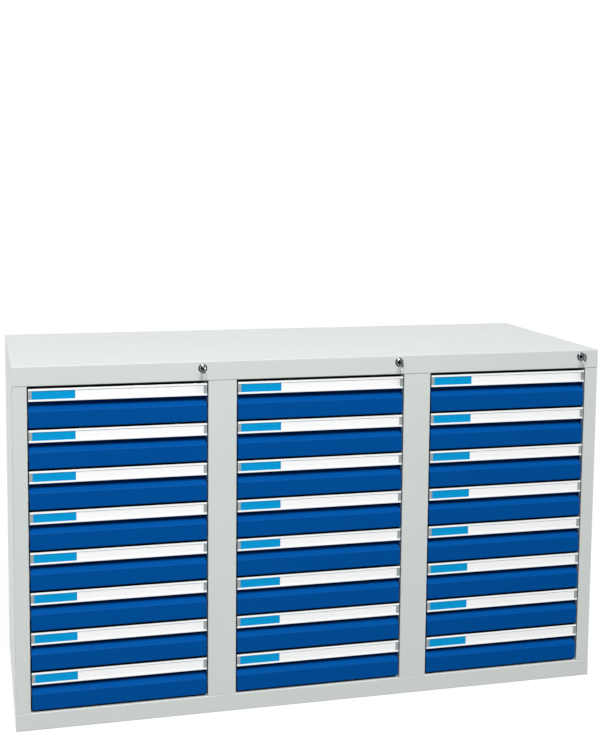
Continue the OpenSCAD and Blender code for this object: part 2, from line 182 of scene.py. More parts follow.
# painted dark reflection: the key's and the ring's metal is kept dark so that they don't mirror the white
# background as white
key_painted_dark = finish("key_painted_dark_reflection", (0.20, 0.21, 0.215), 0.28, metallic=1.0, tint=0.06, tint_scale=90,
                   bump=0.06)
plug_plastic = finish("end_plug_plastic", (0.31, 0.345, 0.35), 0.5, specular=0.3, tint=0.04,
                      tint_scale=80, grain=1200, bump=0.15)
roller_plastic = finish("roller_plastic", (0.78, 0.78, 0.74), 0.45, specular=0.45, tint=0.03,
                        tint_scale=60)
label_white = finish("label_white", (0.96, 0.962, 0.965), 0.62, specular=0.15, tint=0.008,
                     tint_scale=30, grain=1600, bump=0.08)
label_blue = finish("label_light_blue", (0.0005, 0.315, 0.665), 0.60, specular=0.02, tint=0.02,
                    tint_scale=30, grain=1600, bump=0.08)
clear_cover = finish("label_clear_cover", (0.05, 0.06, 0.07), 0.08, specular=0.5, tint=0.01,
                     alpha=0.02, bump=0.01)
hole_dark = finish("panel_plug_dark", (0.10, 0.11, 0.11), 0.5, specular=0.4, tint=0.05, tint_scale=80)


# ---------------------------------------------------------------- mesh helpers


def left_of(v):
    return Vector((-v.y, v.x))


def fold(path, t, r_in, segs=4):
    """Both sides of a folded sheet of thickness t that lies to the left of a path, with rounded bends."""
    pts = [Vector(p) for p in path]
    dirs = [(b - a).normalized() for a, b in zip(pts, pts[1:])]
    one, two = [pts[0]], [pts[0] + left_of(dirs[0]) * t]
    for p, d0, d1 in zip(pts[1:-1], dirs, dirs[1:]):
        turn = math.atan2(d0.x * d1.y - d0.y * d1.x, d0.dot(d1))
        s = 1 if turn > 0 else -1
        r1, r2 = (r_in + t, r_in) if s > 0 else (r_in, r_in + t)
        start = p - d0 * r1 * math.tan(abs(turn) / 2)
        centre = start + left_of(d0) * s * r1
        for k in range(segs + 1):
            spoke = -left_of(d0) * s
            spoke.rotate(Matrix.Rotation(turn * k / segs, 2))
            one.append(centre + spoke * r1)
            two.append(centre + spoke * r2)
    one.append(pts[-1])
    two.append(pts[-1] + left_of(dirs[-1]) * t)
    return one, two


# A flat drawing's point p, set at the distance w along the third direction


def along_x(p, w):
    return Vector((w, p.x, p.y))


def along_y(p, w):
    return Vector((p.x, w, p.y))


def along_z(p, w):
    return Vector((p.x, p.y, w))


def extrude_sheet(bm, sides, to3, lo, hi):
    """The solid between a sheet's two sides, pulled out from lo to hi."""
    v = [[bm.verts.new(to3(p, w)) for p in side] for w in (lo, hi) for side in sides]
    for i in range(len(sides[0]) - 1):
        bm.faces.new((v[0][i], v[0][i + 1], v[2][i + 1], v[2][i]))
        bm.faces.new((v[1][i + 1], v[1][i], v[3][i], v[3][i + 1]))
        bm.faces.new((v[0][i + 1], v[0][i], v[1][i], v[1][i + 1]))
        bm.faces.new((v[2][i], v[2][i + 1], v[3][i + 1], v[3][i]))
    bm.faces.new((v[0][0], v[2][0], v[3][0], v[1][0]))
    bm.faces.new((v[2][-1], v[0][-1], v[1][-1], v[3][-1]))


def block(bm, lo, hi, mat=0):
    lo, hi = Vector(lo), Vector(hi)
    verts = bmesh.ops.create_cube(bm, size=1.0)["verts"]
    for v in verts:
        v.co = v.co * (hi - lo) + (hi + lo) / 2
    for f in {f for v in verts for f in v.link_faces}:
        f.material_index = mat
    return verts


def side_block(bm, s, lo, hi, middle=0.0):
    """A block given for the right of the middle, or its mirror image where s is -1."""
    a, b = sorted((middle + s * lo[0], middle + s * hi[0]))
    return block(bm, (a, *lo[1:]), (b, *hi[1:]))


def prism(bm, outline, to3, lo, hi):
    """A closed outline pulled out from lo to hi."""
    a = [bm.verts.new(to3(Vector(p), lo)) for p in outline]
    b = [bm.verts.new(to3(Vector(p), hi)) for p in outline]
    n = len(a)
    for i in range(n):
        bm.faces.new((a[i], a[(i + 1) % n], b[(i + 1) % n], b[i]))
    bm.faces.new(a[::-1])
    bm.faces.new(b)


def lathe(bm, profile, axis="y", segs=48, closed=True):
    """A profile of (radius, distance along the axis) turned round the axis."""
    rings = []
    for k in range(segs):
        a = 2 * math.pi * k / segs
        c, s = math.cos(a), math.sin(a)
        rings.append([bm.verts.new((r * c, h, r * s) if axis == "y" else (h, r * c, r * s))
                      for r, h in profile])
    n = len(profile)
    for k in range(segs):
        a, b = rings[k], rings[(k + 1) % segs]
        for i in range(n if closed else n - 1):
            j = (i + 1) % n
            bm.faces.new((a[i], a[j], b[j], b[i]))
    if not closed:
        bm.faces.new([r[0] for r in rings])
        bm.faces.new([r[-1] for r in rings][::-1])


def copy_into(bm, other, at, mat=0, mirror=False):
    """Adds a copy of another bmesh, moved, and mirrored in x if asked."""
    table = {}
    for v in other.verts:
        co = Vector(v.co)
        if mirror:
            co.x = -co.x
        table[v] = bm.verts.new(co + Vector(at))
    for f in other.faces:
        vs = [table[v] for v in f.verts]
        bm.faces.new(vs[::-1] if mirror else vs).material_index = mat


def linked(name, data):
    ob = bpy.data.objects.new(name, data)
    scene.collection.objects.link(ob)
    return ob


def from_bmesh(bm, name, mats=()):
    """An object for modifiers to work on, which takes over the bmesh."""
    me = bpy.data.meshes.new(name)
    bm.to_mesh(me)
    bm.free()
    for m in mats:
        me.materials.append(m)
    return linked(name + "_work", me)


def evaluated(ob):
    dg = bpy.context.evaluated_depsgraph_get()
    dg.update()
    return bpy.data.meshes.new_from_object(ob.evaluated_get(dg), preserve_all_data_layers=True,
                                           depsgraph=dg)


def apply_modifiers(ob):
    ob.data = evaluated(ob)
    ob.modifiers.clear()


def thicken(ob, thickness):
    m = ob.modifiers.new("solid", "SOLIDIFY")
    m.thickness, m.offset, m.use_even_offset = thickness, -1, True


def subtract(ob, cutters):
    for c in cutters:
        m = ob.modifiers.new("cut", "BOOLEAN")
        m.operation, m.object, m.solver = "DIFFERENCE", c, "EXACT"


def shaded(ob, name, sharp, cutters=()):
    """The object's mesh, smooth with crisp edges. The object and its cutters are removed."""
    ob.data.polygons.foreach_set("use_smooth", [True] * len(ob.data.polygons))
    ob.data.set_sharp_from_angle(angle=math.radians(sharp))
    w = ob.modifiers.new("weighted", "WEIGHTED_NORMAL")
    w.keep_sharp = True
    w.weight = 90
    out = evaluated(ob)
    for used in (ob, *cutters):
        bpy.data.objects.remove(used)
    out.name = name
    return out


def baked(bm, name, mats, bevel=0.0, segs=2, sharp=32, cutters=()):
    """A finished mesh from a bmesh: drilled, bevelled and shaded."""
    bmesh.ops.recalc_face_normals(bm, faces=bm.faces[:])
    ob = from_bmesh(bm, name, mats)
    subtract(ob, cutters)
    if bevel:
        m = ob.modifiers.new("bevel", "BEVEL")
        m.width, m.segments, m.limit_method = bevel, segs, "ANGLE"
        m.angle_limit = math.radians(34)
    if ob.modifiers:
        apply_modifiers(ob)
    return shaded(ob, name, sharp, cutters)


def cutter(bm):
    bmesh.ops.recalc_face_normals(bm, faces=bm.faces[:])
    return from_bmesh(bm, "cutter")


def drill(axis, r, centre):
    """A cutter for a round hole along y or z."""
    reach = 0.01
    bm = bmesh.new()
    lathe(bm, [(r, -reach), (r, reach)], closed=False)
    if axis == "z":
        bmesh.ops.rotate(bm, verts=bm.verts, matrix=Matrix.Rotation(math.pi / 2, 3, "X"))
    ob = cutter(bm)
    ob.location = centre
    return ob


def piece(name, mesh, body, at=(0, 0, 0), nodes=(), turn=None):
    ob = linked(name, mesh)
    ob.location = at
    if turn is not None:
        ob.rotation_euler = turn
    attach(ob, body)
    if nodes:
        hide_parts(*nodes)
    return ob


def point_along(ob, blade, across):
    """Turns a flat piece so that its x axis and its y axis point the given ways, at right angles."""
    x, y = Vector(blade).normalized(), Vector(across).normalized()
    rot = Matrix((x, y, x.cross(y))).transposed().to_4x4()
    ob.matrix_world = Matrix.Translation(ob.matrix_world.translation) @ rot


def curve(name, mat, lines, dimensions, closed):
    """A curve object through the points of each line, for a wire or a plate."""
    cu = bpy.data.curves.new(name, "CURVE")
    cu.dimensions = dimensions
    for line in lines:
        sp = cu.splines.new("POLY")
        sp.points.add(len(line) - 1)
        for p, co in zip(sp.points, line):
            p.co = (*co, 1)
        sp.use_cyclic_u = closed
    cu.materials.append(mat)
    return linked(name + "_work", cu)


def wire(name, points, radius, mat):
    ob = curve(name, mat, [points], "3D", closed=False)
    ob.data.bevel_depth, ob.data.bevel_resolution = radius, 3
    ob.data.use_fill_caps = True
    me = evaluated(ob)
    bpy.data.objects.remove(ob)
    me.name = name
    me.polygons.foreach_set("use_smooth", [True] * len(me.polygons))
    return me


def flat_shape(name, loops, thickness, mat):
    """Outlines in a plane, with holes, made into a plate with softened edges."""
    edge = 0.0002
    ob = curve(name, mat, [[(x, y, 0) for x, y in loop] for loop in loops], "2D", closed=True)
    cu = ob.data
    cu.fill_mode = "BOTH"
    cu.extrude, cu.offset = thickness / 2 - edge, -edge
    cu.bevel_depth, cu.bevel_resolution = edge, 2
    me = evaluated(ob)
    bpy.data.objects.remove(ob)
    return shaded(linked(name + "_work", me), name, 40)


def arc(cx, cy, r, a0, a1, n):
    return [(cx + r * math.cos(a0 + (a1 - a0) * k / n), cy + r * math.sin(a0 + (a1 - a0) * k / n))
            for k in range(n + 1)]


# ---------------------------------------------------------------- casing


def cross_sheet(name, node, path, skirt_z, holes):
    """The top or the base: one sheet folded across the cabinet, with a skirt inside each side panel."""
    tight_bend, skirt_end = 0.0005, 0.030
    end = HALF_W - OFF_PLANE
    bm = bmesh.new()
    extrude_sheet(bm, fold(path, SHEET, tight_bend), along_x, -end, end)
    for s in (-1, 1):
        side_block(bm, s, (HALF_W - 2 * SHEET, FRONT + HEM, skirt_z[0]),
                   (HALF_W - SHEET - OFF_PLANE, BACK - skirt_end, skirt_z[1]))
    piece(name, baked(bm, name, [casing_paint], cutters=holes), "casing", nodes=[node])


def bar_guides(bm, x, depth):
    """The lugs that carry a lock bar, from the opening's edge at x to the wall."""
    clear, t, lift = 0.0006, 0.002, 0.080
    y0, y1 = BAR_Y - clear - t, BAR_Y + BAR_W + clear + t
    near, far, wall = x + BAR_INSET - clear, x + BAR_INSET + BAR_T + clear, x + depth
    for r in (0, 4, 7):
        z = room_z(r) + lift
        block(bm, (near - t, y0, z), (near, y1, z + t))
        block(bm, (near, y0, z), (wall, y0 + t, z + t))
        block(bm, (near, y1 - t, z), (wall, y1, z + t))
        block(bm, (far, y0 + t, z), (wall, y1 - t, z + t))


def side_panel(name, low, high, right):
    """A side panel with its stile and its back flange, drawn at the left and mirrored for the right."""
    inner = OUTER_STILE - HALF_W
    path = [(-HALF_W, BACK), (-HALF_W, FRONT), (inner, FRONT), (inner, FRONT + STILE_RETURN)]
    bm = bmesh.new()
    extrude_sheet(bm, fold(path, SHEET, BEND, 5), along_z, low, high)
    for z0, z1 in ((SHEET, low), (high, HEIGHT - SHEET)):
        block(bm, (-HALF_W, FRONT + SHEET, z0), (SHEET - HALF_W, BACK, z1))
    block(bm, (SHEET - HALF_W, BACK - 2 * SHEET, SHEET), (HEM - HALF_W, BACK - SHEET, HEIGHT - SHEET))
    if right:
        bmesh.ops.scale(bm, vec=(-1, 1, 1), verts=bm.verts)
        bar_guides(bm, -inner, OUTER_STILE - SHEET)
    piece(name, baked(bm, name, [casing_paint]), "casing",
          nodes=["side_panels_and_dividers"])


def divider(name, x, low, high):
    """A divider's web with its folded stile in front."""
    half = INNER_STILE / 2
    path = [(-half, FRONT + STILE_RETURN), (-half, FRONT), (half, FRONT), (half, FRONT + STILE_RETURN)]
    bm = bmesh.new()
    extrude_sheet(bm, fold(path, SHEET, BEND, 5), along_z, low, high)
    block(bm, (-SHEET / 2, FRONT + SHEET, SHEET), (SHEET / 2, BACK - SHEET, HEIGHT - SHEET))
    bar_guides(bm, -half, half)
    piece(name, baked(bm, name, [casing_paint]), "casing", at=(x, 0, 0),
          nodes=["side_panels_and_dividers"])


def back_sheet():
    """The back, with the marks of the spot welds along its edges and over the dividers' flanges."""
    gap = SHEET + 0.0008
    mark_r, mark_floor_r, mark_d = 0.0042, 0.0024, 0.001
    bm = bmesh.new()
    block(bm, (gap - HALF_W, BACK - SHEET, gap), (HALF_W - gap, BACK, HEIGHT - gap))
    spots = [(x, 0.05 + 0.1 * k) for x in (-0.757, -0.2475, 0.2625, 0.757) for k in range(9)]
    spots += [(-0.7 + 0.1 * k, z) for k in range(15) for z in (0.010, 0.890)]
    marks = bmesh.new()
    for x, z in spots:
        at = Matrix.Translation((x, BACK, z)) @ Matrix.Rotation(math.pi / 2, 4, "X")
        bmesh.ops.create_cone(marks, cap_ends=True, segments=16, radius1=mark_r, radius2=mark_floor_r,
                              depth=mark_d, matrix=at)
    piece("casing_back", baked(bm, "casing_back", [casing_paint], cutters=[cutter(marks)]), "casing",
          nodes=["back_panel"])


def side_plug():
    """A small plug in the left side panel, near its top front corner."""
    bm = bmesh.new()
    lathe(bm, [(0.0001, -0.0002), (0.0030, -0.0002), (0.0040, 0.0002), (0.0040, 0.0010), (0.0001, 0.0010)],
          axis="x", segs=24, closed=False)
    piece("side_plug", baked(bm, "side_plug", [hole_dark]), "casing", at=(0.0003 - HALF_W, -0.130, 0.829))


def casing():
    lock_hole_r, floor_hole_r, floor_hole_inset = 0.0091, 0.0055, 0.060
    lip = FRONT + HEM
    cross_sheet("casing_top", "top_cover",
                [(BACK, HEIGHT), (FRONT, HEIGHT), (FRONT, STILE_TOP), (lip, STILE_TOP)],
                (HEIGHT - SKIRT, HEIGHT - SHEET - OFF_PLANE),
                [drill("y", lock_hole_r, (x + LOCK_X, FRONT, LOCK_Z)) for x in BAYS])
    cross_sheet("casing_base", "base_panel",
                [(lip, STILE_BOTTOM), (FRONT, STILE_BOTTOM), (FRONT, 0), (BACK, 0)],
                (SHEET + OFF_PLANE, SKIRT),
                [drill("z", floor_hole_r, (x * (HALF_W - floor_hole_inset), y * (BACK - floor_hole_inset), 0))
                 for x in (-1, 1) for y in (-1, 1)])
    low, high = STILE_BOTTOM + SEAM, STILE_TOP - SEAM
    side_panel("casing_side_left", low, high, right=False)
    side_panel("casing_side_right", low, high, right=True)
    for i, (x0, x1) in enumerate(zip(BAYS, BAYS[1:])):
        divider(f"casing_divider_{i + 1}", (x0 + x1) / 2, low, high)
    back_sheet()
    side_plug()


# ---------------------------------------------------------------- slides


def roller_mesh():
    """A roller about the x axis, with a hub, a thinner web and a rim."""
    centre, hub, rim = 0.0001, 0.0022, 0.0066
    face, web, slope = ROLLER_W / 2, 0.0034, 0.0006
    side = [(centre, face), (hub, face), (hub + slope, web), (rim - slope, web), (rim, face),
            (ROLLER_R - slope, face), (ROLLER_R, web)]
    bm = bmesh.new()
    lathe(bm, [(r, -x) for r, x in side] + side[::-1], axis="x", segs=32, closed=False)
    return bm


def slides():
    """The fixed slides with their front rollers, and the brackets that join them to the casing."""
    foot_w, top_w, bracket_inset, bracket_flange = 0.009, 0.006, 0.038, 0.025
    inner = WEB_X - SLIDE_SHEET
    channel = bmesh.new()
    section = fold([(inner - foot_w, 0.0), (WEB_X, 0.0), (WEB_X, SLIDE_H), (inner - top_w, SLIDE_H)],
                   SLIDE_SHEET, BEND, 3)
    extrude_sheet(channel, section, along_y, SLIDE_FRONT, SLIDE_BACK)
    roller = roller_mesh()
    roller_x = inner - FIT - ROLLER_W / 2
    roller_z = RIDER_Z - SLIDE_LIFT - SLIDE_SHEET - ROLLER_CLEAR - ROLLER_R
    bm = bmesh.new()
    for r in range(ROWS):
        z = room_z(r) + SLIDE_LIFT
        for x in BAYS:
            for s in (-1, 1):
                # an outer column's outer bracket meets the side panel, and all others meet a divider's web
                wall = OPENING_HALF + (OUTER_STILE - SHEET if s * x > 0 else (INNER_STILE - SHEET) / 2)
                copy_into(bm, channel, (x, 0, z), mirror=s < 0)
                copy_into(bm, roller, (x + s * roller_x, SLIDE_FRONT + ROLLER_SETBACK, z + roller_z), mat=1)
                for y in (SLIDE_FRONT + bracket_inset, SLIDE_BACK - bracket_inset - bracket_flange):
                    side_block(bm, s, (WEB_X, y, z), (wall, y + SLIDE_SHEET, z + SLIDE_H), x)
                    side_block(bm, s, (wall - SLIDE_SHEET, y, z),
                               (wall, y + bracket_flange, z + SLIDE_H), x)
    channel.free()
    roller.free()
    piece("slide_rails_fixed", baked(bm, "slide_rails_fixed", [zinc, roller_plastic]), "casing",
          nodes=["drawer_slides"])


# ---------------------------------------------------------------- drawers


def front_panel_mesh():
    """The blue pan: side and bottom flanges, face, sloping finger recess and the wall behind the rail."""
    face_bottom, face_top, slope_top, wall_top = 0.0045, 0.046, 0.058, 0.094
    flange, bend_offset, end_inset = 0.012, 0.0025, 0.005
    wall_half = FRONT_HALF - end_inset
    corners = {"a": (FRONT_HALF, flange, face_bottom), "b": (FRONT_HALF, 0.0, face_bottom),
               "c": (FRONT_HALF, 0.0, face_top), "s": (FRONT_HALF, flange, face_top),
               "d": (wall_half, RECESS, slope_top), "e": (wall_half, RECESS, wall_top)}
    bm = bmesh.new()
    v = {name + k: bm.verts.new((s * x, y, z))
         for s, k in ((-1, "l"), (1, "r")) for name, (x, y, z) in corners.items()}
    faces = ("al ar br bl", "bl br cr cl", "cl cr dr dl", "dl dr er el", "al bl cl sl", "ar sr cr br")
    for names in faces:
        bm.faces.new([v[n] for n in names.split()])
    bends = ("bl br", "cl cr", "dl dr", "bl cl", "br cr", "al bl", "ar br")
    edges = [bm.edges.get([v[n] for n in names.split()]) for names in bends]
    bmesh.ops.recalc_face_normals(bm, faces=bm.faces[:])
    bmesh.ops.bevel(bm, geom=edges, offset=bend_offset, segments=4, profile=0.5, affect="EDGES",
                    clamp_overlap=True)
    face = max(bm.faces, key=lambda f: f.calc_area())
    if face.normal.y > 0:
        bmesh.ops.reverse_faces(bm, faces=bm.faces[:])
    ob = from_bmesh(bm, "front_panel", [front_paint])
    thicken(ob, DRAWER_SHEET)
    apply_modifiers(ob)

    # the side flanges go on up past the recess and turn in behind it, so that it is closed at its ends
    side, turned_in, turned_t = FRONT_HALF - DRAWER_SHEET, 0.2090, 0.0006
    start, behind, low, high = 0.0095, 0.0187, 0.0440, 0.0830
    bm = bmesh.new()
    bm.from_mesh(ob.data)
    for s in (-1, 1):
        side_block(bm, s, (side, start, low), (FRONT_HALF, behind, high))
        side_block(bm, s, (turned_in, behind - turned_t, low), (side, behind, high))
    bm.to_mesh(ob.data)
    bm.free()
    return shaded(ob, "front_panel", 30)


def rail_mesh():
    """The rail's profile: finger lip, roof and flange behind, and two lips over the label channel."""
    height, wall, roof = 0.0305, 0.0015, 0.026
    finger_lip, back, flange = 0.009, RECESS - FIT, 0.014
    channel, lip, grip, lower, upper = 0.0035, 0.00065, 0.0015, 0.0045, 0.0255
    outline = [(0, 0), (finger_lip, 0), (finger_lip, wall), (channel, wall), (channel, roof - wall),
               (back - wall, roof - wall), (back - wall, flange), (back, flange), (back, roof),
               (channel, roof), (channel, height), (0, height), (0, upper), (lip, upper),
               (lip, upper + grip), (channel - wall, upper + grip), (channel - wall, lower - grip),
               (lip, lower - grip), (lip, lower), (0, lower)]
    bm = bmesh.new()
    prism(bm, outline, along_x, -FRONT_HALF, FRONT_HALF)
    return baked(bm, "label_rail", [rail_metal], bevel=0.00028)


def end_plugs_mesh():
    """The plugs in the two ends of the label channel, each with a shallow inset in its face."""
    rim, inset = 0.0012, -0.0004
    bm = bmesh.new()
    for s in (-1, 1):
        verts = side_block(bm, s, (LABEL_HALF, COVER_Y[0], CHANNEL_Z[0]),
                           (FRONT_HALF, LABEL_Y[1], CHANNEL_Z[1]))
        front = min({f for v in verts for f in v.link_faces}, key=lambda f: f.calc_center_median().y)
        bmesh.ops.inset_individual(bm, faces=[front], thickness=rim, depth=inset)
    return baked(bm, "rail_end_plugs", [plug_plastic], bevel=0.00025)


def label_mesh():
    """The paper label, with its light-blue field at the left end."""
    field = -0.10495
    bm = bmesh.new()
    for x0, x1, mat in ((-LABEL_HALF, field, 1), (field, LABEL_HALF, 0)):
        block(bm, (x0, LABEL_Y[0], CHANNEL_Z[0]), (x1, LABEL_Y[1], CHANNEL_Z[1]), mat)
    return baked(bm, "label_strip", [label_white, label_blue])


def cover_mesh():
    bm = bmesh.new()
    block(bm, (-LABEL_HALF, COVER_Y[0], CHANNEL_Z[0]), (LABEL_HALF, COVER_Y[1], CHANNEL_Z[1]))
    return baked(bm, "label_cover", [clear_cover], bevel=0.0001, segs=1)


def tray_mesh():
    """A folded tray with rounded bends, a turned-in top edge and rows of divider slots."""
    z0, z1, hem, bend_offset = 0.008, 0.086, 0.005, 0.0018
    slot_count, slot_first, slot_step, slot_w = 13, 0.052, 0.040, 0.0024
    slot_bottom, slot_top, slot_reach = 0.046, 0.078, 0.004

    def ring(z, inset=0.0):
        w, y0, y1 = TRAY_HALF - inset, TRAY_FRONT + inset, TRAY_BACK - inset
        return [bm.verts.new((x, y, z)) for x, y in ((-w, y0), (w, y0), (w, y1), (-w, y1))]

    bm = bmesh.new()
    bottom, top, inner = ring(z0), ring(z1), ring(z1, hem)
    bm.faces.new(bottom[::-1])
    for i in range(4):
        j = (i + 1) % 4
        bm.faces.new((bottom[i], bottom[j], top[j], top[i]))
        bm.faces.new((top[i], top[j], inner[j], inner[i]))
    edges = [bm.edges.get((r[i], r[(i + 1) % 4])) for r in (bottom, top) for i in range(4)]
    edges += [bm.edges.get((bottom[i], top[i])) for i in range(4)]
    bmesh.ops.bevel(bm, geom=edges, offset=bend_offset, segments=3, profile=0.5, affect="EDGES",
                    clamp_overlap=True)
    floor_face = max(bm.faces, key=lambda f: f.calc_area())
    if floor_face.normal.z > 0:
        bmesh.ops.reverse_faces(bm, faces=bm.faces[:])
    ob = from_bmesh(bm, "tray", [tray_paint])
    thicken(ob, DRAWER_SHEET)

    slots = bmesh.new()
    for k in range(slot_count):
        y = slot_first + slot_step * k
        for x in (-TRAY_HALF, TRAY_HALF):
            block(slots, (x - slot_reach, y, slot_bottom), (x + slot_reach, y + slot_w, slot_top))
    cutters = [cutter(slots)]
    subtract(ob, cutters)
    apply_modifiers(ob)
    return shaded(ob, "tray_pan", 30, cutters)


def runners_mesh():
    """The moving slides with their rear rollers, and the catch for the lock bar."""
    inner, outer, rider_h = TRAY_HALF + FIT, WEB_X - SLIDE_SHEET - STILE_CLEAR, 0.018
    catch_reach, catch_z, catch_h, hook_t, hook_gap = 0.011, 0.060, 0.008, 0.004, 0.002
    catch_y = BAR_Y + BAR_W + hook_t + hook_gap - FRONT
    rider = bmesh.new()
    section = fold([(outer, RIDER_Z), (inner, RIDER_Z), (inner, RIDER_Z - rider_h)], SLIDE_SHEET, BEND, 3)
    extrude_sheet(rider, section, along_y, TRAY_FRONT, TRAY_BACK)
    roller = roller_mesh()
    roller_x = inner + SLIDE_SHEET + FIT + ROLLER_W / 2
    roller_z = SLIDE_LIFT + SLIDE_SHEET + ROLLER_CLEAR + ROLLER_R
    bm = bmesh.new()
    for s in (-1, 1):
        copy_into(bm, rider, (0, 0, 0), mirror=s < 0)
        copy_into(bm, roller, (s * roller_x, TRAY_BACK - ROLLER_SETBACK, roller_z), mat=1)
    block(bm, (inner, catch_y, catch_z), (inner + catch_reach, catch_y + BAR_T, catch_z + catch_h))
    rider.free()
    roller.free()
    return baked(bm, "runners", [zinc, roller_plastic])


def drawers():
    on_front = (("_front_panel", front_panel_mesh(), 0.0, "front_paint"),
                ("_label_rail", rail_mesh(), RAIL_Z, "rail_aluminium"),
                ("_rail_plugs", end_plugs_mesh(), RAIL_Z, "grey_plastic"),
                ("_label", label_mesh(), RAIL_Z, "label_card"),
                ("_label_cover", cover_mesh(), RAIL_Z, "clear_plastic"))
    behind = (("_tray_pan", tray_mesh(), 0.0, "tray_paint"),
              ("_runners", runners_mesh(), 0.0, "slide_steel"))
    for c, x in enumerate(BAYS):
        for r in range(ROWS):
            body = f"drawer_{c + 1}_{r + 1}"
            for node, parts in ((body + "_front", on_front), (body + "_tray", behind)):
                for suffix, mesh, lift, slot in parts:
                    piece(body + suffix, mesh, body, (x, FRONT, room_z(r) + lift), [node])


# ---------------------------------------------------------------- locks


def barrel_mesh():
    """A lock's body: a sloping bezel in painted dark reflection, a painted highlight line round the plug, the
    barrel and its nut.
    """
    bore, barrel_r, barrel_l = PLUG_R + PLUG_CLEAR, 0.009 - FIT, 0.0185
    nut_half, nut_t = 0.0115, 0.004
    bm = bmesh.new()
    lathe(bm, [(bore, -0.0020), (0.0063, -0.0027), (0.0067, -0.0030), (0.0074, -0.0028), (0.0108, -0.0010),
               (0.0110, -0.0007), (0.0110, 0.0), (barrel_r, 0.0), (barrel_r, barrel_l), (bore, barrel_l)],
          segs=64)
    # painted highlight and painted dark reflection: faces on a narrow ring round the plug get bright chrome,
    # all others the near-black metal
    for f in bm.faces:
        middle = f.calc_center_median()
        painted_highlight_ring = 0.0066 < math.hypot(middle.x, middle.z) < 0.0073 and middle.y < -0.0022
        f.material_index = 0 if painted_highlight_ring else 1
    corner = nut_half / math.cos(math.pi / 6)
    nut = [(corner * math.cos(math.pi / 3 * k), corner * math.sin(math.pi / 3 * k)) for k in range(6)]
    prism(bm, nut, along_y, SHEET, SHEET + nut_t)
    return baked(bm, "lock_barrel", [chrome, bezel_painted_dark], sharp=30)


def plug_mesh():
    """The lock's plug, with a softened front edge."""
    centre, soft = 0.0001, 0.0005
    bm = bmesh.new()
    lathe(bm, [(centre, PLUG_FRONT), (0.0053, PLUG_FRONT), (PLUG_R, PLUG_FRONT + soft), (PLUG_R, PLUG_BACK),
               (centre, PLUG_BACK)], closed=False)
    return baked(bm, "lock_plug", [plug_painted_dark], sharp=30)


def key_mesh():
    """A key in its own plane: x along the blade, from the bow's middle to the tip."""
    bow_r, half = 0.0105, 0.0036
    slot_r, slot_half = 0.0021, 0.00525
    a = math.asin(half / bow_r)
    neck = bow_r * math.cos(a)
    bow = arc(0, 0, bow_r, a, 2 * math.pi - a, 40)
    shoulder = [(0.0155, half), (0.0158, 0.0044), (0.0175, 0.0044), (0.0178, half)]
    cuts = [(0.0225, half), (0.0240, 0.0021), (0.0255, 0.0021), (0.0270, 0.0031), (0.0285, 0.0031),
            (0.0300, 0.0016), (0.0315, 0.0016), (0.0330, 0.0029), (0.0345, 0.0029), (0.0360, 0.0019),
            (0.0375, 0.0019), (0.0385, 0.0028)]
    tip = [(0.0400, 0.0012), (0.0405, 0.0), (0.0400, -0.0014), (0.0385, -half)]
    outline = [(neck, half)] + shoulder + cuts + tip + [(x, -y) for x, y in shoulder[::-1]]
    outline += [(neck, -half)] + bow[::-1][1:-1]
    slot = arc(0, slot_half, slot_r, 0, math.pi, 10) + arc(0, -slot_half, slot_r, math.pi, 2 * math.pi, 10)
    return flat_shape("key", [outline, slot], KEY_T, key_painted_dark)


def cam_mesh():
    """The cam: a round hub and a narrower nose at the cam pin."""
    hub_r, nose_x, nose_r = 0.005, 0.010, 0.003
    hub = arc(0, 0, hub_r, math.pi * 0.25, math.pi * 1.75, 24)
    nose = arc(nose_x, 0, nose_r, -math.pi * 0.5, math.pi * 0.5, 12)
    return flat_shape("cam", [hub + nose], CAM_T, zinc)


def ring_mesh(radius):
    """A split ring of almost two turns of wire, standing in its own xz plane."""
    wire_r, turns, steps, start = 0.00045, 1.9, 96, 0.4
    angles = [2 * math.pi * turns * k / steps + start for k in range(steps + 1)]
    coil = [(radius * math.cos(t), wire_r * (2 * k / steps - 1), radius * math.sin(t))
            for k, t in enumerate(angles)]
    return wire("key_ring", coil, wire_r, key_painted_dark)


def locks():
    ring_r, ring_drop = 0.0125, 0.0067
    diagonal = math.sqrt(0.5)
    barrel, plug, key, cam, ring = barrel_mesh(), plug_mesh(), key_mesh(), cam_mesh(), ring_mesh(ring_r)
    for c, bay in enumerate(BAYS):
        n, x = str(c + 1), bay + LOCK_X
        body, node = "lock_plug_" + n, ["lock_plug_and_key_" + n]
        piece("lock_barrel_" + n, barrel, "casing", (x, FRONT, LOCK_Z), ["lock_barrels"])
        piece("lock_plug_" + n, plug, body, (x, FRONT, LOCK_Z), node)
        # at rest the key's plane is upright: its blade runs along +Y and its slot along Z
        ob = piece("lock_key_" + n, key, body, (x, FRONT + KEY_BOW_Y, LOCK_Z), node)
        point_along(ob, (0, 1, 0), (0, 0, 1))
        ob = piece("lock_cam_" + n, cam, body, (x, FRONT + PLUG_BACK + FIT + CAM_T / 2, LOCK_Z),
                   node)
        point_along(ob, (-diagonal, 0, -diagonal), (-diagonal, 0, diagonal))
        # the ring hangs in the bow's slot and stays upright when the key turns
        piece("key_ring_" + n, ring, "casing", (x, FRONT + KEY_BOW_Y, LOCK_Z - ring_drop - ring_r),
              turn=(0.0, 0.0, math.radians(50)))


def lock_bars():
    """The lock bars keep the CAD model's own shape, and get the slides' zinc."""
    for c in range(len(BAYS)):
        materials = frame["nodes"][f"lock_bar_{c + 1}"].data.materials
        materials.clear()
        materials.append(zinc)


# ---------------------------------------------------------------- ground, light and camera


